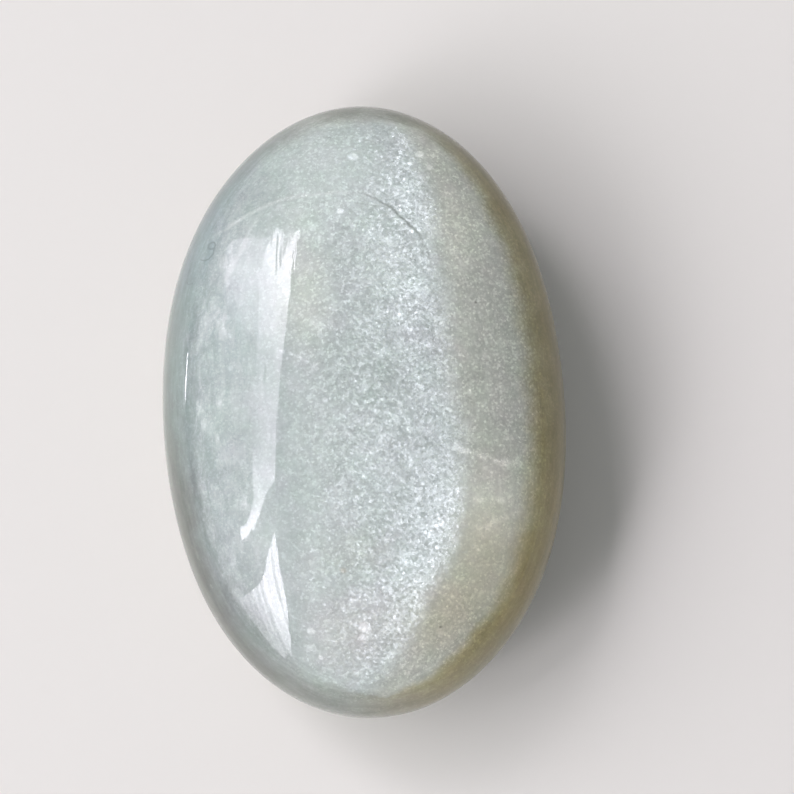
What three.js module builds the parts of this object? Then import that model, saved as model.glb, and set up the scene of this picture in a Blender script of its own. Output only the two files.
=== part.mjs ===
// A moonstone palm stone: one polished pebble that lies on a small flat ground on its underside.
// Millimetres, +Z up. The long axis runs along Y, and the middle of the flat is at the origin.
import * as THREE from 'three';
import { mergeVertices } from 'three/addons/utils/BufferGeometryUtils.js';

// Overall size
const LENGTH = 70;
const WIDTH = 45.6;
const THICKNESS = 23;

// Height above the flat at which the stone is widest
const GIRDLE_HEIGHT = 11.2;

// Size of the resting flat, as a share of the outline
const FLAT_SHARE = 0.38;

// How the outline departs from a true ellipse: waves around it, the share of the radius
// that each adds at its crests, and the angle of its first crest from +X. Four soft corners
// make it slightly square, and the weaker waves are the unevenness of grinding by hand.
const OUTLINE_WAVES = [
  { crests: 4, share: 0.008, degrees: 51.5 },
  { crests: 3, share: 0.0036, degrees: 79 },
  { crests: 6, share: 0.0022, degrees: 34 },
];

// How much fuller than an ellipsoid the crown and the underside are: 0 is a plain ellipsoid
const CROWN_FULLNESS = 0.06;
const UNDERSIDE_FULLNESS = 0.25;

// Facets: steps around the outline, and rings on each side of the girdle
const OUTLINE_STEPS = 72;
const CROWN_RINGS = 20;
const UNDERSIDE_RINGS = 15;

// Height of a dome of unit height at a share of its radius, flat on top and upright at its rim
function domeHeight(radius, fullness) {
  return Math.sqrt(Math.max(0, 1 - radius * radius) * (1 + fullness * radius * radius));
}

// Half of the stone's section, from the middle of the flat round the girdle to the top.
// The radius is a share of the outline, and the height is in millimetres.
function sectionProfile() {
  const profile = [new THREE.Vector2(0, 0)];
  for (let ring = UNDERSIDE_RINGS; ring > 0; ring -= 1) {
    const share = Math.cos((Math.PI / 2) * (ring / UNDERSIDE_RINGS));
    const radius = FLAT_SHARE + (1 - FLAT_SHARE) * share;
    profile.push(new THREE.Vector2(radius, GIRDLE_HEIGHT * (1 - domeHeight(share, UNDERSIDE_FULLNESS))));
  }
  const crownHeight = THICKNESS - GIRDLE_HEIGHT;
  for (let ring = 0; ring < CROWN_RINGS; ring += 1) {
    const radius = Math.cos((Math.PI / 2) * (ring / CROWN_RINGS));
    profile.push(new THREE.Vector2(radius, GIRDLE_HEIGHT + crownHeight * domeHeight(radius, CROWN_FULLNESS)));
  }
  profile.push(new THREE.Vector2(0, THICKNESS));
  return profile;
}

// Share of the radius that the outline's waves add in one direction
function outlineSwell(angle) {
  return OUTLINE_WAVES.reduce((sum, { crests, share, degrees }) => (
    sum + share * Math.cos(crests * (angle - THREE.MathUtils.degToRad(degrees)))
  ), 0);
}

// Stretches a round turning of unit radius to the oval outline. The waves fade towards the
// middle, so the top and the flat stay smooth, and the result has exactly the overall size.
function stretchToOutline(geometry) {
  const position = geometry.getAttribute('position');
  for (let i = 0; i < position.count; i += 1) {
    const x = position.getX(i);
    const y = position.getY(i);
    const swell = 1 + outlineSwell(Math.atan2(y, x)) * (x * x + y * y);
    position.setX(i, x * swell * WIDTH);
    position.setY(i, y * swell * LENGTH);
  }
  geometry.computeBoundingBox();
  const size = geometry.boundingBox.getSize(new THREE.Vector3());
  geometry.scale(WIDTH / size.x, LENGTH / size.y, 1);
  geometry.center();
  geometry.translate(0, 0, THICKNESS / 2);
}

function palmStone() {
  const turned = new THREE.LatheGeometry(sectionProfile(), OUTLINE_STEPS);
  turned.rotateX(Math.PI / 2);
  turned.deleteAttribute('normal');
  turned.deleteAttribute('uv');
  stretchToOutline(turned);
  const geometry = mergeVertices(turned, 1e-4);
  geometry.computeVertexNormals();
  const moonstone = new THREE.MeshStandardMaterial({ color: 0xb0b8b6, roughness: 0.12, metalness: 0 });
  const mesh = new THREE.Mesh(geometry, moonstone);
  mesh.name = 'stone';
  return mesh;
}

const model = new THREE.Group();
model.name = 'moonstone_palm_stone';
model.add(palmStone());

export default model;
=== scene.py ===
import math

import bpy
from mathutils import Matrix, Vector, noise


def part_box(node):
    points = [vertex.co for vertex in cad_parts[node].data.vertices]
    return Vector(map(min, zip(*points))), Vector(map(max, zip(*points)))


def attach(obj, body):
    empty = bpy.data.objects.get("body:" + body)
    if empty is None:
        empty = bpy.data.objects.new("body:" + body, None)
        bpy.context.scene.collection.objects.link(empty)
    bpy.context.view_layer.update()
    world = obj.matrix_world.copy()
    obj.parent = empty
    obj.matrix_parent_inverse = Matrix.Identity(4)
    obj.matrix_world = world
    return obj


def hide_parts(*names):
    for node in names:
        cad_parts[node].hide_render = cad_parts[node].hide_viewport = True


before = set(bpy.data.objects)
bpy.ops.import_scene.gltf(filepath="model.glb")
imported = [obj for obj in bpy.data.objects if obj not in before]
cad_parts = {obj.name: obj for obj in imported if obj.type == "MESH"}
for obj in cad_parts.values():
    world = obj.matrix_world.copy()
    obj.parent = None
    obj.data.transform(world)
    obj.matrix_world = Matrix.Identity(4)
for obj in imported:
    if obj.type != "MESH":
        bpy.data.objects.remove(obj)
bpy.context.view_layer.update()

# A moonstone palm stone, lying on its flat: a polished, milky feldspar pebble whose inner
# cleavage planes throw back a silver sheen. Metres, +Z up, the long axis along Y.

STONE_LOW, STONE_HIGH = (Vector(corner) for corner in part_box("stone"))

MM = 0.001

# ---------------------------------------------------------------- the stone's form

LENGTH = STONE_HIGH.y - STONE_LOW.y
WIDTH = STONE_HIGH.x - STONE_LOW.x
THICKNESS = STONE_HIGH.z - STONE_LOW.z
GIRDLE_HEIGHT = 11.2 * MM
FLAT_SHARE = 0.38
CROWN_FULLNESS = 0.06
UNDERSIDE_FULLNESS = 0.25

# Waves around the outline: crests, the share of the radius each adds, and its first crest
OUTLINE_WAVES = (
    (4, 0.008, math.radians(51.5)),
    (3, 0.0036, math.radians(79)),
    (6, 0.0022, math.radians(34)),
)

# Hand polishing leaves shallow, wide hollows in the skin
HOLLOW_DEPTH = 0.03 * MM
HOLLOW_SIZE = 7.0 * MM
FLAT_FADE = 1.5 * MM

# Fineness of the mesh: steps around the outline, and rings on each of its parts
OUTLINE_STEPS = 288
CROWN_RINGS = 108
UNDERSIDE_RINGS = 64
FLAT_RINGS = 12

# Points on the outline that are looked at to find its width and length
OUTLINE_SAMPLES = 3600

# The UV map lays the crown and the underside side by side as two ovals. It holds this much
# of the skin across and along, with a gap between the ovals.
MAP_WIDTH = 118 * MM
MAP_LENGTH = 82 * MM


def dome_height(radius, fullness):
    """Height of a dome of unit height at a share of its radius."""
    return math.sqrt(max(0.0, 1 - radius * radius) * (1 + fullness * radius * radius))


def outline_swell(angle):
    """Share of the radius that the outline's waves add in one direction."""
    return sum(share * math.cos(crests * (angle - first)) for crests, share, first in OUTLINE_WAVES)


def outline_point(radius, angle):
    """A place on the stone seen from above, at a share of the outline, before it is sized."""
    swell = 1 + outline_swell(angle) * radius * radius
    return radius * math.cos(angle) * swell, radius * math.sin(angle) * swell


def outline_fit():
    """Scale and middle that bring the unit outline to the stone's real width and length."""
    edge = [outline_point(1.0, math.tau * i / OUTLINE_SAMPLES) for i in range(OUTLINE_SAMPLES)]
    spans = []
    for axis, size in ((0, WIDTH), (1, LENGTH)):
        low = min(point[axis] for point in edge)
        high = max(point[axis] for point in edge)
        spans.append((size / (high - low), (high + low) / 2))
    return spans


def stone_rings():
    """Rings from the middle of the crown over the girdle to the middle of the flat, each with
    its share of the outline and its height."""
    crown_height = THICKNESS - GIRDLE_HEIGHT
    rings = [(0.0, THICKNESS)]
    for ring in range(1, CROWN_RINGS + 1):
        radius = math.sin(0.5 * math.pi * ring / CROWN_RINGS)
        rings.append((radius, GIRDLE_HEIGHT + crown_height * dome_height(radius, CROWN_FULLNESS)))
    for ring in range(1, UNDERSIDE_RINGS + 1):
        share = math.cos(0.5 * math.pi * ring / UNDERSIDE_RINGS)
        radius = FLAT_SHARE + (1 - FLAT_SHARE) * share
        rings.append((radius, GIRDLE_HEIGHT * (1 - dome_height(share, UNDERSIDE_FULLNESS))))
    for ring in range(1, FLAT_RINGS + 1):
        rings.append((FLAT_SHARE * (1 - ring / FLAT_RINGS), 0.0))
    return rings


def ring_points():
    """The stone's points, ring by ring. The first and the last ring are one point each."""
    (scale_x, middle_x), (scale_y, middle_y) = outline_fit()
    angles = [math.tau * step / OUTLINE_STEPS for step in range(OUTLINE_STEPS)]
    points = []
    for radius, height in stone_rings():
        flat_points = [outline_point(radius, angle) for angle in angles]
        points.append([Vector(((x - middle_x) * scale_x, (y - middle_y) * scale_y, height))
                       for x, y in flat_points])
    return points


def hollow(point):
    """How far the skin lies below its ideal form at one point. The flat stays true."""
    depth = HOLLOW_DEPTH * (0.5 + 0.5 * noise.noise(point / HOLLOW_SIZE))
    return depth * min(1.0, point.z / FLAT_FADE)


def skin_distances(points, middle):
    """How far each point lies from the middle of its face, measured along the skin."""
    order = range(0, CROWN_RINGS + 1) if middle == 0 else range(len(points) - 1, CROWN_RINGS - 1, -1)
    distances = {middle: [0.0] * OUTLINE_STEPS}
    for ring, after in zip(order, order[1:]):
        distances[after] = [distances[ring][step] + (points[after][step] - points[ring][step]).length
                            for step in range(OUTLINE_STEPS)]
    return distances


def map_place(distances, ring, step, side):
    """Place on the UV map of one point: the crown on the left half, the underside on the right."""
    angle = math.tau * step / OUTLINE_STEPS
    distance = distances[ring][step % OUTLINE_STEPS]
    return (0.25 + 0.5 * side + distance * math.cos(angle) / MAP_WIDTH,
            0.5 + distance * math.sin(angle) / MAP_LENGTH)


def build_stone():
    """The polished stone as one closed, finely divided mesh, with a UV map of its two faces."""
    points = ring_points()
    last = len(points) - 1
    vertices = [points[0][0]] + [point for ring in points[1:last] for point in ring] + [points[last][0]]

    def index(ring, step):
        if ring == 0:
            return 0
        if ring == last:
            return len(vertices) - 1
        return 1 + (ring - 1) * OUTLINE_STEPS + step % OUTLINE_STEPS

    crown_distances = skin_distances(points, 0)
    underside_distances = skin_distances(points, last)
    faces = []
    places = []
    for ring in range(last):
        side = 0 if ring < CROWN_RINGS else 1
        distances = underside_distances if side else crown_distances
        for step in range(OUTLINE_STEPS):
            corners = [(ring, step), (ring + 1, step), (ring + 1, step + 1), (ring, step + 1)]
            if ring == 0:
                corners.pop()
            if ring + 1 == last:
                corners.pop(2)
            faces.append([index(*corner) for corner in corners])
            places.extend(map_place(distances, *corner, side) for corner in corners)

    mesh = bpy.data.meshes.new("palm_stone")
    mesh.from_pydata(vertices, [], faces)
    normals = [vertex.normal.copy() for vertex in mesh.vertices]
    for vertex, normal in zip(mesh.vertices, normals):
        vertex.co -= normal * hollow(vertex.co)
    mesh.shade_smooth()
    mesh.update()

    uv_map = mesh.uv_layers.new(name="OFBake")
    uv_map.data.foreach_set("uv", [value for place in places for value in place])

    # How far each point lies inside the outline, seen from above
    edge = [point.to_2d().length for point in points[CROWN_RINGS]]
    insets = [min(edge)]
    for ring in points[1:last]:
        insets.extend(edge[step] - point.to_2d().length for step, point in enumerate(ring))
    insets.append(min(edge))
    inset = mesh.attributes.new("inset", "FLOAT", "POINT")
    inset.data.foreach_set("value", insets)

    stone = bpy.data.objects.new("palm_stone", mesh)
    bpy.context.scene.collection.objects.link(stone)
    return stone


# ---------------------------------------------------------------- shader building blocks

def srgb(red, green, blue):
    """A linear colour from the 0 to 255 values of a screen colour."""
    def linear(value):
        value /= 255
        return value / 12.92 if value <= 0.04045 else ((value + 0.055) / 1.055) ** 2.4
    return linear(red), linear(green), linear(blue), 1.0


class Shader:
    """Short calls that add nodes to one material and return the output that matters."""

    def __init__(self, name):
        self.material = bpy.data.materials.new(name)
        self.material.use_nodes = True
        self.tree = self.material.node_tree
        self.tree.nodes.clear()

    def node(self, kind, inputs=(), **settings):
        """Adds a node. Its inputs are set, or linked where the value is another node's output."""
        node = self.tree.nodes.new(kind)
        for key, value in settings.items():
            setattr(node, key, value)
        for key, value in dict(inputs).items():
            if isinstance(value, bpy.types.NodeSocket):
                self.tree.links.new(value, node.inputs[key])
            else:
                node.inputs[key].default_value = value
        return node

    def math(self, operation, *values, clamp=False):
        node = self.node("ShaderNodeMath", enumerate(values), operation=operation, use_clamp=clamp)
        return node.outputs[0]

    def vector(self, operation, *values):
        node = self.node("ShaderNodeVectorMath", enumerate(values), operation=operation)
        return node.outputs["Value" if operation in ("LENGTH", "DISTANCE", "DOT_PRODUCT") else "Vector"]

    def scaled(self, vector, factor):
        node = self.node("ShaderNodeVectorMath", {"Vector": vector, "Scale": factor}, operation="SCALE")
        return node.outputs["Vector"]

    def step(self, value, start, end, low=0.0, high=1.0):
        """A smooth rise from low to high while value goes from start to end."""
        inputs = {"Value": value, "From Min": start, "From Max": end, "To Min": low, "To Max": high}
        node = self.node("ShaderNodeMapRange", inputs, interpolation_type="SMOOTHSTEP")
        return node.outputs["Result"]

    def mix(self, factor, first, second, blend="MIX"):
        """Two colours mixed. The node's colour sockets are its inputs 6 and 7 and its output 2."""
        inputs = {0: factor, 6: first, 7: second}
        return self.node("ShaderNodeMix", inputs, data_type="RGBA", blend_type=blend).outputs[2]

    def noise(self, place, size, detail=2.0, roughness=0.5, distortion=0.0, colour=False):
        inputs = {"Vector": place, "Scale": 1 / size, "Detail": detail, "Roughness": roughness,
                  "Distortion": distortion}
        node = self.node("ShaderNodeTexNoise", inputs)
        return node.outputs["Color" if colour else "Fac"]

    def cells(self, place, size):
        return self.node("ShaderNodeTexVoronoi", {"Vector": place, "Scale": 1 / size})


# ---------------------------------------------------------------- moonstone

# All sizes and places in the material are in millimetres on the stone, seen from above. Colours
# are linear. Marks are joined to the result one by one, because Cycles draws a material black
# when too many of its values wait at the same time.

# How strongly feldspar bends light
REFRACTION = 1.52

# Sizes of what the stone is made of
CLOUD_SIZE = 6.0
CLUMP_SIZE = 2.4
GRAIN_SIZE = 0.6
CRYSTAL_SIZE = 0.42
SUGAR_SIZE = 0.23
FLAKE_SIZE = 0.62
PLANE_SIZE = 0.3
FIBRE_SIZE = 0.3
LAYER_SIZE = 0.7
RIM_LINE_SIZE = 0.45
POLISH_LINE_SIZE = 1.1
SOFT_SPOT_SPACING = 2.0
PIT_SPACING = 0.7

# How much each of them varies the colour
GRAIN_CONTRAST = 0.6
CRYSTAL_CONTRAST = 0.17
SUGAR_CONTRAST = 0.40
CLUMP_CONTRAST = 0.3
FIBRE_CONTRAST = 0.14
LAYER_CONTRAST = 0.14
CLOUD_CONTRAST = 0.06
RIM_LINE_CONTRAST = 0.30

# How much they vary the sheen
GRAIN_SPARKLE = 0.65
CRYSTAL_SPARKLE = 0.6
SUGAR_SPARKLE = 1.3
CLUMP_SPARKLE = 1.25

# How far the edges of placed marks and of crystals wander, and at what size
WANDER = 1.2
WANDER_SIZE = 3.0
RAGGED = 0.14
RAGGED_SIZE = 0.4

# How far the clouds move the rim's limits in and out
UNEVEN = 1.5

# Between these heights the plan drops away, so that the crown's marks aren't repeated below it
CROWN_END = (12.5, 8.5)
PLAN_DROP = 30.0

# The sheen ends along an arc: right of it the same grains stay matt
ARC_BEND = 6e-6
ARC_MIDDLE = 3.0
ARC_SHIFT = -1.3

# The milk, from the left edge to the right of the arc
MILK_EDGE = (0.232, 0.275, 0.278, 1)
MILK_LEFT = (0.38, 0.428, 0.425, 1)
MILK_MIDDLE = (0.51, 0.56, 0.549, 1)
MILK_RIGHT = (0.578, 0.597, 0.545, 1)

# The whole body's tint, and how its hue drifts from place to place
BODY_TINT = (0.888, 0.898, 0.858)
HUE_SWING = (0.10, -0.05, 0.08)
HUE_SIZE = 3.5

# Lines in the rim follow the outline: the noise changes this much more slowly along it
RIM_LINE_STRETCH = 0.09

# Where layers across the stone show
LAYER_PLACE = ((2.0, -18.0), (16.0, 14.0))

# The clearer rim: its inner part, its outer part, and how they change towards the ends. Its right side
# carries painted shade on its olive, and its low left a painted dark reflection.
INNER_MIDDLE = (0.46, 0.49, 0.46, 1)
INNER_LEFT = (0.225, 0.275, 0.268, 1)
# Painted dark reflection of the surroundings over the slate of the low left
INNER_LEFT_LOW_SLATE_AND_REFLECTION = (0.21, 0.235, 0.232, 1)
INNER_LEFT_HIGH = (0.265, 0.32, 0.33, 1)
# Olive of the stone, darkened with painted shade over the right side, away from the light
INNER_RIGHT_OLIVE_AND_SHADE = (0.45, 0.41, 0.24, 1)
INNER_RIGHT_LOW_OLIVE_AND_SHADE = (0.56, 0.485, 0.245, 1)
OUTER_MIDDLE = (0.22, 0.235, 0.205, 1)
OUTER_MIDDLE_LOW = (0.285, 0.305, 0.285, 1)
OUTER_LEFT = (0.195, 0.224, 0.212, 1)
# Painted dark reflection of the surroundings at the low left edge
OUTER_LEFT_LOW_SLATE_AND_REFLECTION = (0.145, 0.152, 0.138, 1)
OUTER_LEFT_HIGH = (0.195, 0.232, 0.24, 1)
# Painted shade over the right edge, away from the light, darkest at the very edge
OUTER_RIGHT_OLIVE_AND_SHADE = (0.212, 0.171, 0.052, 1)
OUTER_RIGHT_LOW_OLIVE_AND_SHADE = (0.32, 0.255, 0.11, 1)
OUTER_RIGHT_END_OLIVE_AND_SHADE = (0.37, 0.32, 0.18, 1)
UNDERSIDE = (0.40, 0.425, 0.395, 1)
UNDERSIDE_SHARE = 0.8

# Where the rim reaches further in, or less far: place, reach and change. The first and the last widen
# the painted dark reflection at the lower left.
RIM_CHANGES = (
    ((-13.0, -25.0), (8.0, 11.0), 2.2),
    ((-20.0, 0.0), (10.0, 14.0), -1.3),
    ((0.5, -34.0), (9.0, 10.0), -1.5),
    ((-8.7, -31.0), (4.5, 4.5), 1.2),
)

# The upper end is less clear: its place and reach, and how much deeper it counts
CLOUDED_END = ((6.0, 29.0), (5.0, 4.5))
CLOUDED_DEPTH = 1.4

# Soft patches that lighten, darken or tint the milk: place, reach and factors on the colour. Most are
# the stone's own tone; the second is a painted dark reflection at the lower left, the third a painted
# glow just right of the mirrored high softbox, and the fifth a painted pale reflection at its upper
# end.
TONE_AND_LIGHT_PATCHES = (
    ((14.5, -12.0), (9.0, 9.0), (1.25, 1.23, 1.20)),
    # Painted dark reflection of the surroundings at the lower left
    ((-15.5, -26.0), (10.0, 14.0), (0.66, 0.64, 0.66)),
    # Painted glow just right of the mirrored high softbox
    ((-6.3, 11.5), (5.0, 10.0), (1.17, 1.12, 1.07)),
    ((-1.0, 24.0), (10.0, 10.0), (1.13, 1.14, 1.13)),
    # Painted pale reflection at the upper end of the mirrored high softbox
    ((-7.0, 20.5), (4.0, 4.0), (1.15, 1.14, 1.13)),
    ((3.5, 14.0), (6.0, 6.0), (1.14, 1.14, 1.13)),
    ((10.5, 19.0), (6.0, 8.0), (1.18, 1.17, 1.15)),
    ((13.0, -19.0), (8.0, 9.0), (1.10, 1.04, 0.93)),
    ((-12.0, -15.5), (3.5, 5.0), (1.14, 1.14, 1.12)),
    ((-14.0, 8.0), (6.0, 12.0), (1.06, 1.09, 1.09)),
    ((0.5, -9.5), (4.0, 4.0), (1.10, 1.10, 1.11)),
    ((-1.0, 2.0), (7.0, 7.0), (0.90, 0.91, 0.90)),
    ((-16.0, -1.5), (3.5, 4.5), (1.20, 1.18, 1.17)),
    ((-6.5, -18.5), (3.5, 5.5), (1.07, 1.04, 1.05)),
    ((-1.0, -26.0), (10.0, 7.0), (1.06, 0.975, 0.98)),
    ((-1.0, -17.5), (6.0, 4.0), (0.95, 0.93, 0.90)),
    ((8.0, -24.5), (8.0, 7.0), (1.02, 0.96, 0.86)),
    ((6.0, 22.0), (5.0, 9.0), (0.96, 0.96, 0.96)),
    ((8.5, 28.0), (4.0, 4.0), (1.14, 1.15, 1.14)),
)

# Cloudy wisps of white in the clearer milk at the left: place, reach and strength
WISP_COLOUR = (0.61, 0.635, 0.65, 1)
WISP_SIZE = 1.3
WISPS = (
    ((-18.4, -0.7), (1.0, 2.0), 1.0),
    ((-17.6, -2.3), (1.2, 1.8), 0.55),
    ((-16.2, -0.2), (1.0, 0.8), 1.0),
    ((-14.9, 0.7), (1.6, 0.9), 0.7),
    ((-16.0, -4.0), (1.0, 1.3), 0.8),
    ((-15.6, -6.6), (2.4, 2.2), 0.5),
    ((-13.6, -2.9), (1.8, 1.8), 0.4),
    ((-13.6, -11.4), (1.8, 1.7), 1.0),
    ((-17.2, -9.3), (2.2, 2.2), 0.6),
    ((-14.6, 15.8), (2.4, 3.6), 0.6),
    ((-15.2, 9.0), (2.6, 4.8), 0.7),
)

# Where the grain shows less: place, reach and the share of its contrast that is lost
CALM_PLACES = (
    ((14.0, -16.0), (9.0, 14.0), 0.5),
    ((1.0, 26.0), (9.0, 8.0), 0.45),
    ((0.0, -24.0), (11.0, 10.0), 0.25),
)
CALM_SHEEN = ((6.5, -14.0), (9.0, 14.0), 0.45)

# Where the sheen is strongest: below and above the middle, just left of the arc
BRIGHT_PLACES = (
    ((8.2, -14.0), (5.0, 8.0)),
    ((5.5, -20.5), (5.0, 5.0)),
    ((5.2, 22.5), (7.0, 13.0)),
    ((4.8, 11.0), (4.0, 6.0)),
)

# Spots and veins make the milk this much paler
PALE = (1.56, 1.52, 1.56)

# Whitish spots that stand out from the grain: place, reach and strength. Soft ones are scattered.
SOFT_SPOT_STRENGTH = 0.55
SPOTS = (
    ((-0.2, 27.3), 0.75, 0.9),
    ((5.7, 24.5), 0.5, 0.9),
    ((8.4, 26.0), 0.6, 0.7),
    ((7.3, 27.7), 0.75, 1.1),
    ((-1.9, 20.6), 0.6, 0.9),
    ((-0.4, 18.7), 0.55, 0.7),
    ((3.5, 17.1), 0.8, 0.5),
    ((4.4, 22.7), 0.45, 0.7),
    ((6.0, 18.1), 0.45, 0.7),
    ((5.4, 10.5), 0.5, 1.0),
    ((7.4, 5.1), 0.5, 0.8),
    ((0.2, -1.3), 0.45, 0.8),
    ((4.9, -4.2), 0.5, 0.8),
    ((6.2, 0.2), 0.45, 0.7),
    ((-0.8, -25.6), 0.95, 1.0),
    ((-1.0, -26.6), 0.6, 0.6),
    ((-6.7, -25.8), 0.65, 0.5),
    ((-6.9, -27.6), 0.6, 0.4),
    ((-5.6, -28.5), 0.45, 0.8),
    ((-1.9, -30.2), 0.5, 0.5),
)

# Short pale veins and flecks: start, end, width and strength
VEINS = (
    ((8.6, -5.6), (11.0, -6.9), 0.75, 0.9),
    ((11.0, -6.9), (13.2, -7.6), 0.65, 0.8),
    ((13.2, -7.6), (16.8, -8.1), 0.6, 0.8),
    ((11.8, -12.0), (15.5, -12.1), 0.6, 0.4),
    ((12.3, -15.2), (15.7, -13.9), 0.6, 0.35),
    ((-8.9, 5.0), (-6.7, 4.0), 0.24, 0.8),
    ((-6.7, 4.0), (-5.2, 3.2), 0.2, 0.6),
    ((-18.1, -15.1), (-17.1, -16.6), 0.2, 0.4),
    ((-19.6, -15.3), (-18.7, -17.0), 0.2, 0.4),
    ((-15.5, -18.0), (-14.4, -17.7), 0.3, 0.5),
    ((-17.6, -19.8), (-17.1, -20.2), 0.2, 0.6),
    ((-16.1, -18.9), (-16.0, -19.1), 0.22, 0.6),
    ((-1.6, -16.1), (0.9, -16.3), 0.25, 0.6),
    ((1.4, -17.3), (3.4, -18.1), 0.25, 0.6),
)

# Gaps that tear the veins
VEIN_GAP_SIZE = 0.8

# Dashes where cleavage planes reach the skin
DASH_COLOUR = (0.78, 0.80, 0.80, 1)
DASH_SIZE = 0.42
DASH_STRENGTH = 0.5
DASH_PLACE = ((3.5, -17.5), (12.0, 9.0))

# Cracks that run along circles: middle, radius and width. The pale one goes on in two lines.
DARK_CRACK = ((-3.66, 11.38), 12.2, 0.25)
DARK_CRACK_COLOUR = (0.25, 0.265, 0.25, 1)
PALE_CRACK = ((-2.65, -2.83), 25.9, 0.38)
PALE_CRACK_COLOUR = (0.68, 0.71, 0.71, 1)
CRACK_STRENGTH = 0.45
PALE_CRACK_LINES = (
    ((-10.8, 21.0), (-14.9, 13.8), 0.5, 0.6),
    ((-16.1, 11.6), (-18.4, 5.9), 0.8, 0.35),
)

# Small specks: place and reach
DARK_SPECKS = (((7.6, -25.6), (0.3, 0.3)), ((12.7, 10.0), (0.22, 0.22)))
DARK_SPECK_COLOUR = (0.13, 0.13, 0.11, 1)
DARK_SPECK_STRENGTH = 0.7
BROWN_SPECK = ((-2.7, -19.3), (0.6, 0.45))
BROWN_SPECK_COLOUR = (0.36, 0.27, 0.16, 1)
BROWN_SPECK_STRENGTH = 0.4

# A curl of lint on the skin, at the upper left: a loop, the thread that ends in it, and a scrap
LINT_COLOUR = (0.16, 0.19, 0.19, 1)
LINT_STRENGTH = 0.75
LINT_WIDTH = 0.15
LINT_LOOP = ((-16.5, 18.25), 0.34, LINT_WIDTH)
LINT_THREADS = (
    ((-16.2, 18.0), (-16.3, 17.3), (-16.7, 16.7), (-17.2, 16.5), (-17.6, 16.7)),
    ((-19.5, 14.3), (-19.3, 13.9), (-18.8, 13.9)),
)

# Where polishing has left traces: place, reach and how strong they are
WORN_PLACES = (
    ((-9.4, 16.0), (5.0, 7.0), 1.0),
    ((-12.6, -15.5), (3.0, 3.5), 0.3),
    ((-11.5, -22.5), (4.5, 5.5), 0.12),
)

# Short scratches in the polish: start, end, width and strength
SCRATCHES = (
    ((-10.5, 3.4), (-10.8, 1.6), 0.14, 1.0),
    ((-12.5, -8.6), (-13.1, -11.3), 0.14, 1.0),
    ((-13.9, -13.2), (-14.3, -14.6), 0.14, 1.0),
    ((-8.8, 18.4), (-9.1, 13.9), 0.12, 1.0),
    ((-8.4, 17.0), (-8.6, 14.8), 0.12, 1.0),
)

# Depths of the polish's traces: even lines, lines where it is worn, pits and scratches
LINE_DEPTH = 0.004
WORN_LINE_DEPTH = 0.03
PIT_DEPTH = 0.012
SCRATCH_DEPTH = 0.02

# The inner planes lie almost level, leaning a little to the left, each grain a little off
PLANE_LEAN = (-0.123, 0.0, 0.992)
PLANE_JITTER = 0.16
SILVER = (0.85, 0.92, 0.925, 1)


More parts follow.
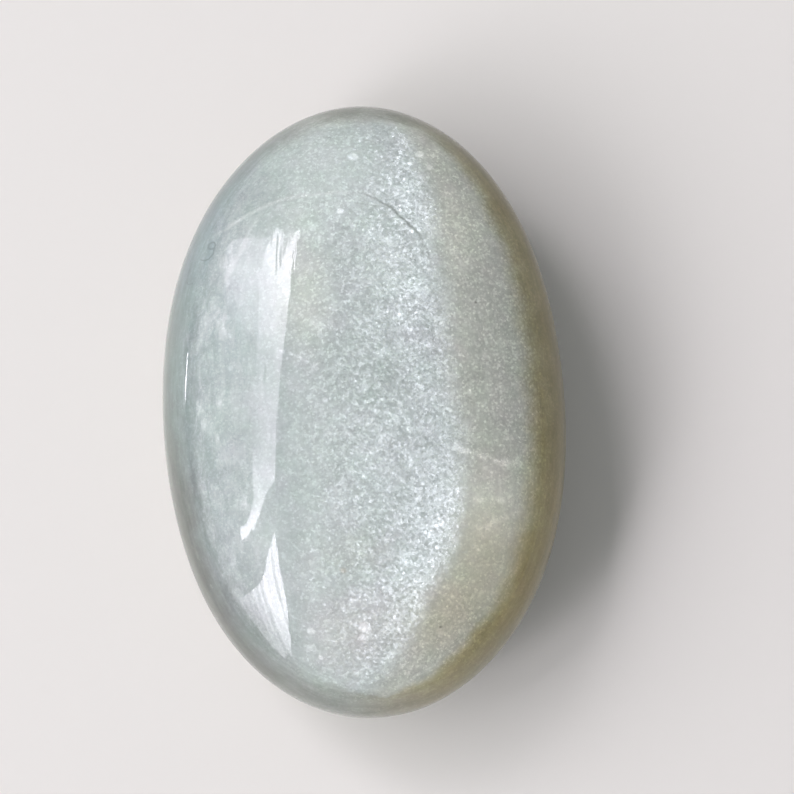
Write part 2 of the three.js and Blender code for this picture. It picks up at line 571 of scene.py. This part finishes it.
class Moonstone(Shader):
    """Milky feldspar under a clear polish, with a silver sheen from planes inside it."""

    def __init__(self):
        super().__init__("moonstone")
        self.find_place()
        self.find_arc()
        self.find_plan()
        self.find_grains()

    # Where a point lies

    def find_place(self):
        """Place on the stone, its parts along the axes, and how far inside the outline it is."""
        coordinates = self.node("ShaderNodeTexCoord")
        self.place = self.scaled(coordinates.outputs["Object"], 1 / MM)
        parts = self.node("ShaderNodeSeparateXYZ", {0: self.place}).outputs
        self.across, self.along, self.height = parts
        inset = self.node("ShaderNodeAttribute", attribute_name="inset").outputs["Fac"]
        self.inset = self.math("MULTIPLY", inset, 1 / MM)

    def find_arc(self):
        """How far right a place is, measured so that the sheen's end is the same all along."""
        off_middle = self.math("ABSOLUTE", self.math("SUBTRACT", self.along, ARC_MIDDLE))
        arc = self.math("MULTIPLY_ADD", self.math("POWER", off_middle, 4.0), ARC_BEND, self.across)
        below_middle = self.step(self.along, 3.0, -8.0)
        above_end = self.step(self.along, -25.0, -14.0)
        self.arc = self.math("ADD", arc, self.product(below_middle, above_end, ARC_SHIFT))

    def find_plan(self):
        """The place seen from above, true and with a slow wander that makes edges unsteady."""
        drift = self.noise(self.place, WANDER_SIZE, detail=3.0, colour=True)
        drift = self.vector("SUBTRACT", drift, (0.5, 0.5, 0.5))
        wandering = self.vector("ADD", self.place, self.scaled(drift, WANDER))
        drop = self.step(self.height, *CROWN_END, high=PLAN_DROP)
        drop = self.node("ShaderNodeCombineXYZ", {2: drop}).outputs[0]
        self.plan = self.vector("MULTIPLY_ADD", wandering, (1.0, 1.0, 0.0), drop)
        self.true_plan = self.vector("MULTIPLY_ADD", self.place, (1.0, 1.0, 0.0), drop)

    def find_grains(self):
        """The textures that colour and sheen share: clouds, clumps, grains, crystals and sugar."""
        grains = self.noise(self.place, GRAIN_SIZE, detail=3.0, roughness=1.0)
        self.grains = self.math("SUBTRACT", grains, 0.5)
        clumps = self.noise(self.place, CLUMP_SIZE, detail=1.0, roughness=1.0)
        self.clumps = self.math("SUBTRACT", clumps, 0.5)
        self.clouds = self.noise(self.place, CLOUD_SIZE, detail=4.0, roughness=0.6)
        clouded = self.product(self.blot(*CLOUDED_END), CLOUDED_DEPTH)
        self.depth = self.total(self.inset, self.centred(self.clouds, UNEVEN), clouded)
        ragged = self.noise(self.place, RAGGED_SIZE, detail=1.0, colour=True)
        ragged = self.vector("SUBTRACT", ragged, (0.5, 0.5, 0.5))
        self.ragged_place = self.vector("ADD", self.place, self.scaled(ragged, RAGGED))
        self.facets = self.lots(self.cells(self.ragged_place, CRYSTAL_SIZE))
        self.sugar = self.lots(self.cells(self.place, SUGAR_SIZE))

    # Small helpers

    def lots(self, cells):
        """Three random numbers, the same all over each cell."""
        return self.node("ShaderNodeSeparateColor", {0: cells.outputs["Color"]}).outputs

    def streaks(self, size, scale, turn, **settings):
        """Noise drawn out along the axis with the small scale. The turn about Z, in degrees, comes
        after the scaling, so it only picks another part of the noise."""
        inputs = {"Vector": self.place, "Rotation": (0.0, 0.0, math.radians(turn)), "Scale": scale}
        place = self.node("ShaderNodeMapping", inputs).outputs["Vector"]
        return self.noise(place, size, **settings)

    def blot(self, centre, reach, plan=None):
        """1 at a place seen from above, falling smoothly to 0 at its reach in x and y. Its edge
        is unsteady, unless it is drawn on the true plan."""
        if plan is None:
            plan = self.plan
        if reach[0] == reach[1]:
            return self.step(self.vector("DISTANCE", plan, (*centre, 0.0)), reach[0], 0.0)
        shrink = (1 / reach[0], 1 / reach[1], 1 / min(reach))
        middle = (-centre[0] / reach[0], -centre[1] / reach[1], 0.0)
        off = self.vector("MULTIPLY_ADD", plan, shrink, middle)
        return self.step(self.vector("LENGTH", off), 1.0, 0.0)

    def segment(self, start, end, width, plan=None):
        """1 on a thin line between two places, falling to 0 beside it. The line is slightly
        unsteady, unless it is drawn on the true plan."""
        if plan is None:
            plan = self.plan
        run = Vector((*end, 0.0)) - Vector((*start, 0.0))
        off = self.vector("SUBTRACT", plan, (*start, 0.0))
        share = self.math("DIVIDE", self.vector("DOT_PRODUCT", off, tuple(run)), run.length_squared)
        share = self.math("MINIMUM", self.math("MAXIMUM", share, 0.0), 1.0)
        beside = self.vector("SUBTRACT", off, self.scaled(tuple(run), share))
        return self.step(self.vector("LENGTH", beside), width, 0.0)

    def segments(self, lines, plan=None):
        """The strongest of several lines, each with its start, end, width and strength."""
        result = 0.0
        for start, end, width, strength in lines:
            line = self.product(self.segment(start, end, width, plan), strength)
            result = self.math("MAXIMUM", result, line)
        return result

    def ring_line(self, centre, radius, width):
        """1 on a thin, slightly unsteady circle seen from above."""
        distance = self.vector("DISTANCE", self.plan, (*centre, 0.0))
        return self.step(self.math("ABSOLUTE", self.math("SUBTRACT", distance, radius)), width, 0.0)

    def centred(self, value, amount):
        """A 0 to 1 value turned into a swing of plus and minus amount."""
        return self.math("MULTIPLY_ADD", value, 2 * amount, -amount)

    def product(self, *values):
        result = values[0]
        for value in values[1:]:
            result = self.math("MULTIPLY", result, value)
        return result

    def total(self, *values):
        result = values[0]
        for value in values[1:]:
            result = self.math("ADD", result, value)
        return result

    def tinted(self, colour, mask, factors):
        """The colour times the factors where the mask is 1, and unchanged where it is 0."""
        return self.mix(mask, colour, (*factors, 1.0), blend="MULTIPLY")

    def glint(self, value, amount):
        """An even 0 to 1 lot turned into a swing about 0 with few highs, as crystals flash."""
        return self.math("MULTIPLY_ADD", self.math("POWER", value, 4.0), amount, -amount / 5)

    def skewed(self, value, strength):
        """A swing about 0 with its highs drawn up and its lows held back."""
        return self.math("MULTIPLY", value, self.math("MULTIPLY_ADD", value, strength, 1.0))

    def calm(self, centre, reach, loss):
        """1 all over, less its loss in the middle of a calm place."""
        return self.math("MULTIPLY_ADD", self.blot(centre, reach), -loss, 1.0)

    # Colour of the milk

    def milk_colour(self):
        """Bluish and clearer at the left, grey in the middle, whitish beige right of the arc, with soft
        patches, three of them painted light.
        """
        colour = self.mix(self.step(self.across, -20.0, -10.0), MILK_EDGE, MILK_LEFT)
        colour = self.mix(self.step(self.across, -12.0, -4.5), colour, MILK_MIDDLE)
        colour = self.mix(self.step(self.arc, 7.0, 11.5), colour, MILK_RIGHT)
        # Three of the patches are painted light: a glow, a pale reflection and a dark reflection
        for centre, reach, factors in TONE_AND_LIGHT_PATCHES:
            colour = self.tinted(colour, self.blot(centre, reach), factors)
        return colour

    def rim_sides(self):
        """How far a place belongs to the left, the right, the lower and the upper rim."""
        leftward = self.step(self.across, -1.0, -17.0)
        low_end = self.math("MAXIMUM", self.math("SUBTRACT", -16.0, self.along), 0.0)
        rightward = self.step(self.math("MULTIPLY_ADD", low_end, 0.4, self.across), 2.0, 18.0)
        downward = self.step(self.along, 6.0, -13.0)
        upward = self.step(self.along, 8.0, 17.0)
        return leftward, rightward, downward, upward

    def inner_rim(self, leftward, rightward, downward, upward):
        """Colour of the rim's inner part: the clearer stone's own colour, with painted shade at the
        right and a painted dark reflection at the lower left.
        """
        left = self.mix(downward, INNER_LEFT, INNER_LEFT_LOW_SLATE_AND_REFLECTION)
        left = self.mix(upward, left, INNER_LEFT_HIGH)
        right = self.mix(self.step(self.along, 10.0, -18.0), INNER_RIGHT_OLIVE_AND_SHADE, INNER_RIGHT_LOW_OLIVE_AND_SHADE)
        return self.mix(rightward, self.mix(leftward, INNER_MIDDLE, left), right)

    def outer_rim(self, leftward, rightward, downward, upward):
        """Colour of the rim's outer part: the clearer stone's own colour, with painted shade at the
        right and a painted dark reflection at the lower left.
        """
        left = self.mix(downward, OUTER_LEFT, OUTER_LEFT_LOW_SLATE_AND_REFLECTION)
        left = self.mix(upward, left, OUTER_LEFT_HIGH)
        middle = self.mix(self.step(self.along, -8.0, -26.0), OUTER_MIDDLE, OUTER_MIDDLE_LOW)
        right = self.mix(self.step(self.along, 2.0, -20.0), OUTER_RIGHT_OLIVE_AND_SHADE, OUTER_RIGHT_LOW_OLIVE_AND_SHADE)
        right = self.mix(self.step(self.along, -22.0, -30.0), right, OUTER_RIGHT_END_OLIVE_AND_SHADE)
        return self.mix(rightward, self.mix(leftward, middle, left), right)

    def rim_colours_and_shade(self, colour):
        """Towards its rim the stone is clearer: slate at the left, grey-green at both ends and olive at
        the right, and darkest at the very edge. Part of this is painted: painted shade over the right
        side, away from the light, and a painted dark reflection at the lower left. Below the rim it is
        plain milk."""
        sides = self.rim_sides()
        inner = self.inner_rim(*sides)
        outer = self.outer_rim(*sides)
        reach = self.step(self.math("ABSOLUTE", self.across), 8.0, 20.0, low=3.8, high=6.5)
        for centre, size, change in RIM_CHANGES:
            reach = self.math("ADD", reach, self.product(self.blot(centre, size), change))
        colour = self.mix(self.step(self.depth, reach, 2.0), colour, inner)
        edge_reach = self.step(self.across, 4.0, 18.0, low=3.2, high=4.8)
        colour = self.mix(self.step(self.depth, edge_reach, 0.4), colour, outer)
        uneven_height = self.math("ADD", self.height, self.centred(self.clouds, UNEVEN))
        below = self.product(self.step(uneven_height, 15.5, 7.5), UNDERSIDE_SHARE)
        return self.mix(below, colour, UNDERSIDE)

    def wisps(self, colour):
        """Torn white clouds in the milk, drawn out along the stone."""
        torn = self.streaks(WISP_SIZE, (1.0, 0.38, 1.0), -25, detail=4.0, roughness=0.7, distortion=0.5)
        torn = self.step(torn, 0.38, 0.66)
        spread = self.step(self.across, -4.0, -12.0, low=0.0, high=0.28)
        for centre, reach, strength in WISPS:
            spread = self.math("MAXIMUM", spread, self.product(self.blot(centre, reach), strength))
        spread = self.product(spread, self.step(self.inset, 1.5, 4.5))
        return self.mix(self.product(torn, spread), colour, WISP_COLOUR)

    def cracks(self, colour):
        """A dark crack inside the upper right, and a pale one round the upper left."""
        self.dark_crack = self.product(
            self.ring_line(*DARK_CRACK),
            self.step(self.along, 12.5, 18.5),
            self.step(self.across, -1.0, 2.5),
        )
        colour = self.mix(self.product(self.dark_crack, CRACK_STRENGTH), colour, DARK_CRACK_COLOUR)
        pale = self.product(
            self.ring_line(*PALE_CRACK),
            self.step(self.along, 18.5, 21.0),
            self.step(self.across, 1.5, -2.0),
        )
        pale = self.math("MAXIMUM", pale, self.segments(PALE_CRACK_LINES))
        return self.mix(self.product(pale, CRACK_STRENGTH), colour, PALE_CRACK_COLOUR)

    def veins(self, colour):
        """Short pale veins, and dashes across the stone where cleavage planes reach the skin."""
        dashes = self.streaks(DASH_SIZE, (0.22, 1.0, 1.0), -10, detail=2.0, roughness=0.6)
        dashes = self.product(self.step(dashes, 0.60, 0.72), self.blot(*DASH_PLACE), DASH_STRENGTH)
        colour = self.mix(dashes, colour, DASH_COLOUR)
        veins = self.segments(VEINS)
        torn = self.step(self.noise(self.place, VEIN_GAP_SIZE, detail=3.0, roughness=0.7), 0.35, 0.6)
        return self.tinted(colour, self.product(veins, torn), PALE)

    def spots(self, colour):
        """Whitish spots, up to a millimetre across: a few that stand out, and many soft ones."""
        marked = 0.0
        for centre, reach, strength in SPOTS:
            flat_topped = self.step(self.blot(centre, (reach, reach)), 0.0, 0.6, high=strength)
            marked = self.math("MAXIMUM", marked, flat_topped)
        cells = self.cells(self.ragged_place, SOFT_SPOT_SPACING)
        lot = self.lots(cells)
        size = self.math("MULTIPLY_ADD", lot[1], 0.16, 0.12)
        soft = self.step(self.math("DIVIDE", cells.outputs["Distance"], size), 1.0, 0.3)
        few = self.step(lot[0], 0.5, 0.9)
        soft = self.product(soft, few, self.step(self.inset, 3.0, 6.0), SOFT_SPOT_STRENGTH)
        return self.tinted(colour, self.math("MAXIMUM", marked, soft), PALE)

    def specks(self, colour):
        """A few specks of dark and brown, and a curl of lint."""
        dark = 0.0
        for centre, reach in DARK_SPECKS:
            dark = self.math("MAXIMUM", dark, self.blot(centre, reach))
        dark = self.product(dark, DARK_SPECK_STRENGTH)
        colour = self.mix(dark, colour, DARK_SPECK_COLOUR)
        brown = self.product(self.blot(*BROWN_SPECK), BROWN_SPECK_STRENGTH)
        colour = self.mix(brown, colour, BROWN_SPECK_COLOUR)
        lint = self.ring_line(*LINT_LOOP)
        for thread in LINT_THREADS:
            for start, end in zip(thread, thread[1:]):
                lint = self.math("MAXIMUM", lint, self.segment(start, end, LINT_WIDTH))
        return self.mix(self.product(lint, LINT_STRENGTH), colour, LINT_COLOUR)

    def grain_shade(self):
        """Light and dark of the crystal grains, about 1."""
        contrast = self.step(self.across, -12.0, -1.0, low=0.5, high=1.0)
        contrast = self.product(contrast, self.step(self.inset, 0.8, 4.5, low=0.35))
        for calm_place in (*CALM_PLACES, CALM_SHEEN):
            contrast = self.product(contrast, self.calm(*calm_place))
        grains = self.total(
            self.product(self.skewed(self.grains, 2.5), GRAIN_CONTRAST),
            self.glint(self.facets[0], CRYSTAL_CONTRAST),
            self.glint(self.sugar[0], SUGAR_CONTRAST),
            self.product(self.clumps, CLUMP_CONTRAST),
        )
        grains = self.product(grains, contrast)
        fibres = self.streaks(FIBRE_SIZE, (1.0, 0.3, 1.0), 4, detail=2.0, roughness=0.8)
        fibres = self.product(
            self.centred(fibres, FIBRE_CONTRAST),
            self.step(self.arc, 7.0, 11.0),
            self.step(self.inset, 1.5, 5.0),
        )
        layers = self.streaks(LAYER_SIZE, (0.22, 1.0, 1.0), -7, detail=3.0, roughness=0.8)
        layers = self.product(self.centred(layers, LAYER_CONTRAST), self.blot(*LAYER_PLACE))
        return self.total(grains, fibres, layers, self.centred(self.clouds, CLOUD_CONTRAST), 1.0)

    def rim_lines(self):
        """Faint lines along the outline, as in the layers of glass, seen in the clear rim."""
        along_rim = self.node("ShaderNodeCombineXYZ", {
            0: self.inset,
            1: self.product(self.along, RIM_LINE_STRETCH),
            2: self.product(self.across, RIM_LINE_STRETCH),
        }).outputs[0]
        lines = self.noise(along_rim, RIM_LINE_SIZE, detail=3.0, roughness=0.7)
        return self.product(self.centred(lines, RIM_LINE_CONTRAST), self.step(self.inset, 6.5, 2.5))

    def body_colour(self):
        """The milk and all that lies in it."""
        colour = self.rim_colours_and_shade(self.milk_colour())
        colour = self.wisps(colour)
        colour = self.veins(self.cracks(colour))
        shade = self.math("ADD", self.grain_shade(), self.rim_lines())
        colour = self.scaled(colour, shade)
        hue = self.math("SUBTRACT", self.noise(self.place, HUE_SIZE, detail=3.0, roughness=0.6), 0.5)
        tint = self.vector("MULTIPLY_ADD", hue, HUE_SWING, BODY_TINT)
        colour = self.vector("MULTIPLY", colour, tint)
        return self.specks(self.spots(colour))

    # The silver sheen

    def sheen_field(self):
        """How much light the crystal planes throw back: it rises to the right and ends along
        the arc, softly in the middle of the stone and sharply towards both ends."""
        wander = self.centred(self.clouds, 2.0)
        from_middle = self.math("ABSOLUTE", self.math("ADD", self.along, -1.0))
        ends = self.step(from_middle, 6.0, 16.0)
        fade_end = self.math("MULTIPLY_ADD", ends, -1.2, 11.4)
        field = self.step(self.math("ADD", self.arc, wander), fade_end, 7.8)
        field = self.product(field, self.step(self.depth, 1.5, 5.0))
        field = self.product(field, self.step(self.height, 12.5, 15.5))
        return self.product(field, self.step(self.across, -10.0, 7.0, low=0.4))

    def bright_places(self):
        """1 in the middle of the places where the planes lie best."""
        bright = 0.0
        for centre, reach in BRIGHT_PLACES:
            bright = self.math("MAXIMUM", bright, self.blot(centre, reach))
        return bright

    def flakes(self, bright):
        """Small flat flakes that flash, most of them where the sheen is strong."""
        cells = self.cells(self.ragged_place, FLAKE_SIZE)
        disc = self.step(cells.outputs["Distance"], 0.48, 0.32)
        bright = self.product(bright, self.step(self.along, -12.0, 6.0, low=0.3))
        chance = self.math("MULTIPLY_ADD", bright, -0.22, 0.86)
        over = self.math("SUBTRACT", self.lots(cells)[0], chance)
        return self.product(disc, self.math("MULTIPLY", over, 5.0, clamp=True))

    def sheen_weight(self):
        """The share of the surface that shows the silver planes, grain by grain."""
        bright = self.bright_places()
        sparkle = self.total(
            self.glint(self.facets[2], CRYSTAL_SPARKLE),
            self.glint(self.sugar[2], SUGAR_SPARKLE),
            self.product(self.grains, GRAIN_SPARKLE),
            self.product(self.clumps, CLUMP_SPARKLE),
        )
        sparkle = self.math("MULTIPLY_ADD", sparkle, self.calm(*CALM_SHEEN), 1.0)
        weight = self.product(sparkle, self.math("MULTIPLY_ADD", bright, 0.05, 0.08))
        weight = self.math("MAXIMUM", weight, 0.0)
        flash = self.product(self.flakes(bright), self.math("MULTIPLY_ADD", bright, 0.08, 0.10))
        uncracked = self.math("SUBTRACT", 1.0, self.dark_crack)
        return self.product(self.sheen_field(), self.math("ADD", weight, flash), uncracked)

    def plane_normal(self):
        """The inner planes as seen through the surface: refraction tilts them against it."""
        outward = self.node("ShaderNodeNewGeometry").outputs["Normal"]
        cells = self.cells(self.place, PLANE_SIZE)
        jitter = self.vector("SUBTRACT", cells.outputs["Color"], (0.5, 0.5, 0.5))
        plane = self.vector("ADD", self.scaled(jitter, PLANE_JITTER), PLANE_LEAN)
        plane = self.node("ShaderNodeVectorTransform", {0: plane}, vector_type="NORMAL",
                          convert_from="OBJECT", convert_to="WORLD").outputs[0]
        bent = self.scaled(outward, REFRACTION - 1)
        return self.vector("NORMALIZE", self.vector("SUBTRACT", self.scaled(plane, REFRACTION), bent))

    # The polish

    def polish_normal(self):
        """Traces of polishing: fine lines along the stone, deeper where it is worn, a few pits
        there, and short scratches."""
        lines = self.streaks(POLISH_LINE_SIZE, (1.0, 0.07, 1.0), -6, detail=3.0, roughness=0.55)
        worn = 0.0
        for centre, reach, strength in WORN_PLACES:
            trace = self.product(self.blot(centre, reach, self.true_plan), strength)
            worn = self.math("MAXIMUM", worn, trace)
        height = self.product(lines, self.math("MULTIPLY_ADD", worn, WORN_LINE_DEPTH, LINE_DEPTH))
        cells = self.cells(self.place, PIT_SPACING)
        pit = self.product(
            self.step(cells.outputs["Distance"], 0.12, 0.0),
            self.step(self.lots(cells)[0], 0.6, 0.8),
            self.step(worn, 0.0, 0.5),
        )
        height = self.math("MULTIPLY_ADD", pit, -PIT_DEPTH, height)
        scratches = self.segments(SCRATCHES, self.true_plan)
        height = self.math("MULTIPLY_ADD", scratches, -SCRATCH_DEPTH, height)
        bump = self.node("ShaderNodeBump", {"Height": height, "Strength": 1.0, "Distance": MM})
        return bump.outputs["Normal"]

    def finish(self):
        """The milk and the silver planes mixed, both under the same polish."""
        polish = {
            "Coat Weight": 1.0,
            "Coat Roughness": 0.03,
            "Coat IOR": REFRACTION,
            "Coat Normal": self.polish_normal(),
        }
        milk = self.node("ShaderNodeBsdfPrincipled", {
            "Base Color": self.body_colour(),
            "Roughness": 0.55,
            "IOR": REFRACTION,
            "Specular IOR Level": 0.1,
            "Subsurface Weight": 0.35,
            "Subsurface Radius": (1.0, 0.95, 0.8),
            "Subsurface Scale": 3 * MM,
            **polish,
        })
        sheen = self.node("ShaderNodeBsdfPrincipled", {
            "Base Color": SILVER,
            "Metallic": 1.0,
            "Roughness": 0.3,
            "Normal": self.plane_normal(),
            **polish,
        })
        both = self.node("ShaderNodeMixShader", {
            0: self.sheen_weight(),
            1: milk.outputs[0],
            2: sheen.outputs[0],
        })
        self.node("ShaderNodeOutputMaterial", {"Surface": both.outputs[0]})
        return self.material


# ---------------------------------------------------------------- camera, floor and light

CAMERA_ELEVATION = math.radians(81)
CAMERA_TURN = math.radians(2.2)
CAMERA_DISTANCE = 0.330
FRAME_PIXELS = 794
FOCAL_PIXELS = 2916
SENSOR_WIDTH = 36.0
CLIP_START = 10 * MM

# Where the middle of the stone falls in the picture
STONE_PIXEL = (364.0, 407.5)

# Half the floor's side, and its colour on screen
FLOOR_REACH = 3.0
FLOOR_COLOUR = (222, 219, 213)


def place_camera():
    """The camera at the photograph's viewing angle, aimed so that the stone lies off the middle."""
    back = Vector((
        -math.sin(CAMERA_TURN) * math.cos(CAMERA_ELEVATION),
        -math.cos(CAMERA_TURN) * math.cos(CAMERA_ELEVATION),
        math.sin(CAMERA_ELEVATION),
    ))
    right = Vector((math.cos(CAMERA_TURN), -math.sin(CAMERA_TURN), 0.0))
    up = back.cross(right)
    per_pixel = CAMERA_DISTANCE / FOCAL_PIXELS
    middle = Vector((0.0, 0.0, THICKNESS / 2))
    aim = (middle + right * (FRAME_PIXELS / 2 - STONE_PIXEL[0]) * per_pixel
           + up * (STONE_PIXEL[1] - FRAME_PIXELS / 2) * per_pixel)
    data = bpy.data.cameras.new("camera")
    data.sensor_width = SENSOR_WIDTH
    data.lens = SENSOR_WIDTH * FOCAL_PIXELS / FRAME_PIXELS
    data.clip_start = CLIP_START
    camera = bpy.data.objects.new("camera", data)
    turn = Matrix((right, up, back)).transposed().to_4x4()
    camera.matrix_world = Matrix.Translation(aim + back * CAMERA_DISTANCE) @ turn
    bpy.context.scene.collection.objects.link(camera)
    bpy.context.scene.camera = camera


def rectangle(half_x, half_y):
    """The corners of a level rectangle about the origin."""
    return [(-half_x, -half_y, 0), (half_x, -half_y, 0), (half_x, half_y, 0), (-half_x, half_y, 0)]


def lay_floor():
    """A plain pale floor."""
    mesh = bpy.data.meshes.new("floor")
    mesh.from_pydata(rectangle(FLOOR_REACH, FLOOR_REACH), [], [(0, 1, 2, 3)])
    shader = Shader("floor")
    finish = shader.node("ShaderNodeBsdfPrincipled", {
        "Base Color": srgb(*FLOOR_COLOUR),
        "Roughness": 0.9,
    })
    shader.node("ShaderNodeOutputMaterial", {"Surface": finish.outputs[0]})
    mesh.materials.append(shader.material)
    floor = bpy.data.objects.new("floor", mesh)
    bpy.context.scene.collection.objects.link(floor)


# Softboxes stand in a plane to the left of the stone, and the polish mirrors them as a window.
# Corners are (forward, up) in that plane, as shares of its distance. Stops are (forward, strength),
# and pools are places with more or less light: (forward, up), reach and change.
SOFTBOX_DISTANCE = 0.8
SOFTBOX_COLOUR = (1.0, 0.965, 1.05, 1.0)
HIGH_BOX = (
    (-0.31, 0.76), (-0.29, 1.03), (-0.16, 1.44), (-0.11, 1.70), (-0.04, 1.77), (0.19, 1.88),
    (0.49, 2.05), (0.87, 2.19), (1.33, 2.31), (1.57, 2.36), (1.90, 2.35), (1.73, 2.14),
    (1.44, 1.95), (1.22, 1.79), (1.32, 1.70), (1.41, 1.60), (1.38, 1.40), (1.14, 1.30),
    (1.02, 1.22), (0.86, 1.20), (0.78, 1.28), (0.61, 1.36), (0.47, 1.38), (0.21, 1.26),
    (0.04, 1.26), (-0.09, 1.17), (-0.15, 1.15), (-0.21, 1.04), (-0.25, 0.87), (-0.25, 0.75),
)
HIGH_STOPS = (
    (-0.3, 13.0), (-0.12, 6.8), (0.12, 4.8), (0.5, 4.5), (0.85, 8.5), (1.15, 10.7), (1.6, 9.5),
)
HIGH_POOLS = (
    ((0.04, 1.25), (0.14, 0.2), -1.5),
    ((0.85, 2.1), (0.22, 0.4), -3.0),
    ((0.3, 1.3), (0.35, 0.3), -2.2),
    ((1.4, 2.25), (0.3, 0.3), 1.5),
)
LOW_BOX = (
    (-0.38, 1.50), (-0.58, 1.41), (-0.82, 1.32), (-0.92, 1.19), (-1.11, 0.95), (-1.27, 0.57),
    (-1.17, 0.56), (-1.16, 0.34), (-1.00, 0.31), (-0.72, 0.31), (-0.52, 0.27), (-0.54, 0.62),
    (-0.55, 0.84), (-0.52, 1.05), (-0.47, 1.20), (-0.41, 1.39),
)
LOW_STOPS = ((0.0, 3.4), (0.4, 6.0), (0.7, 8.2), (1.1, 11.5), (1.6, 12.0))

# The low box's stops lean, and its light swings between slanting bands, as of a curtain
LOW_LEAN = 2.0
LOW_FOLDS = 1.0
FOLD_SIZE = 0.2
FOLD_SLANT = -2.0

# A narrow slit of light low in the same plane
SLIT_BOX = ((0.164, 0.0), (0.291, 0.022), (0.291, 0.04), (0.164, 0.014))
SLIT_STOPS = ((0.16, 10.0), (0.2, 24.0))

# A dim panel behind the first, seen beside its bright end
VEIL_DISTANCE = 0.82
VEIL_BOX = (
    (0.78, 0.38), (0.84, 0.46), (0.91, 0.61), (1.01, 0.86), (1.16, 1.20), (1.40, 1.45),
    (1.45, 1.62), (1.75, 2.14), (1.41, 1.96), (1.15, 1.80), (0.95, 1.35), (0.60, 1.40),
    (0.50, 1.25), (0.50, 0.85), (0.56, 0.60), (0.68, 0.48),
)
VEIL_STOPS = ((0.46, 1.5), (0.62, 3.8), (0.8, 5.0), (1.1, 5.0), (1.3, 3.4))
VEIL_POOLS = (((0.76, 1.0), (0.3, 0.35), 2.4),)

# A large, soft panel beside the stone, brightest in its middle
WASH_PLACE = (-1.8, 0.16, 1.2)
WASH_SIZE = (4.2, 2.5)
WASH_EDGE = 0.5
WASH_STRENGTH = 2.45
WASH_COLOUR = (0.97, 0.99, 1.0, 1.0)
ROOM_STRENGTH = 0.35
ROOM_COLOUR = (0.93, 0.96, 1.0, 1.0)


def add_panel(name, points, colour, strength_of):
    """A glowing flat panel. strength_of draws its strength from the panel's own place."""
    mesh = bpy.data.meshes.new(name)
    mesh.from_pydata(points, [], [tuple(range(len(points)))])
    shader = Shader(name)
    place = shader.node("ShaderNodeTexCoord").outputs["Object"]
    strength = strength_of(shader, *shader.node("ShaderNodeSeparateXYZ", {0: place}).outputs)
    glow = shader.node("ShaderNodeEmission", {"Color": colour, "Strength": strength})
    shader.node("ShaderNodeOutputMaterial", {"Surface": glow.outputs[0]})
    mesh.materials.append(shader.material)
    panel = bpy.data.objects.new(name, mesh)
    bpy.context.scene.collection.objects.link(panel)
    return panel


def panel_strength(shader, y, z, stops, lean, pools):
    """Strength of a softbox at a place of it, from its stops and its pools."""
    along = shader.math("MULTIPLY_ADD", z, lean, y)
    result = stops[0][1]
    for (start, before), (end, after) in zip(stops, stops[1:]):
        result = shader.math("ADD", result, shader.step(along, start, end, 0.0, after - before))
    for centre, reach, change in pools:
        off_y = shader.math("DIVIDE", shader.math("SUBTRACT", y, centre[0]), reach[0])
        off_z = shader.math("DIVIDE", shader.math("SUBTRACT", z, centre[1]), reach[1])
        off = shader.node("ShaderNodeCombineXYZ", {0: off_y, 1: off_z}).outputs[0]
        pool = shader.step(shader.vector("LENGTH", off), 1.0, 0.0, 0.0, change)
        result = shader.math("ADD", result, pool)
    return result


def fold_swing(shader, y, z, folds):
    """A factor about 1 that swings by folds between slanting bands."""
    across = shader.math("MULTIPLY_ADD", z, FOLD_SLANT, y)
    inputs = {"W": across, "Scale": 1 / FOLD_SIZE, "Detail": 2.0}
    bands = shader.node("ShaderNodeTexNoise", inputs, noise_dimensions="1D").outputs["Fac"]
    return shader.math("MULTIPLY_ADD", bands, 2 * folds, 1 - folds)


def softbox(name, corners, stops, lean=0.0, pools=(), folds=0.0, distance=SOFTBOX_DISTANCE):
    """A glowing panel at the left, drawn in shares of its distance from the stone."""
    points = [(0.0, y, z) for y, z in corners]

    def strength(shader, x, y, z):
        result = panel_strength(shader, y, z, stops, lean, pools)
        if folds:
            result = shader.math("MULTIPLY", result, fold_swing(shader, y, z, folds))
        return result

    panel = add_panel(name, points, SOFTBOX_COLOUR, strength)
    panel.location = (-distance, 0.0, THICKNESS)
    panel.scale = (distance,) * 3


def wash_panel():
    """The large soft panel. Its light fades to the room's towards its edges."""
    half_x, half_y = (side / 2 for side in WASH_SIZE)

    def strength(shader, x, y, z):
        fade_x = shader.step(shader.math("ABSOLUTE", x), half_x, half_x * (1 - WASH_EDGE))
        fade_y = shader.step(shader.math("ABSOLUTE", y), half_y, half_y * (1 - WASH_EDGE))
        fade = shader.math("MULTIPLY", fade_x, fade_y)
        return shader.math("MULTIPLY_ADD", fade, WASH_STRENGTH - ROOM_STRENGTH, ROOM_STRENGTH)

    wash = add_panel("wash", rectangle(half_x, half_y), WASH_COLOUR, strength)
    place = Vector(WASH_PLACE)
    wash.location = place
    wash.rotation_euler = place.to_track_quat("Z", "Y").to_euler()


def light_scene():
    """The panels, a dim room, and colours shown as they are."""
    softbox("softbox_high", HIGH_BOX, HIGH_STOPS, pools=HIGH_POOLS)
    softbox("softbox_low", LOW_BOX, LOW_STOPS, lean=LOW_LEAN, folds=LOW_FOLDS)
    softbox("softbox_veil", VEIL_BOX, VEIL_STOPS, pools=VEIL_POOLS, distance=VEIL_DISTANCE)
    softbox("slit", SLIT_BOX, SLIT_STOPS)
    wash_panel()
    world = bpy.data.worlds.new("studio")
    world.use_nodes = True
    room = world.node_tree.nodes["Background"].inputs
    room["Color"].default_value = ROOM_COLOUR
    room["Strength"].default_value = ROOM_STRENGTH
    bpy.context.scene.world = world
    bpy.context.scene.view_settings.view_transform = "Standard"


# ---------------------------------------------------------------- put it together

place_camera()
lay_floor()
light_scene()

stone = build_stone()
stone.data.materials.append(Moonstone().finish())
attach(stone, "root")
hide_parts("stone")
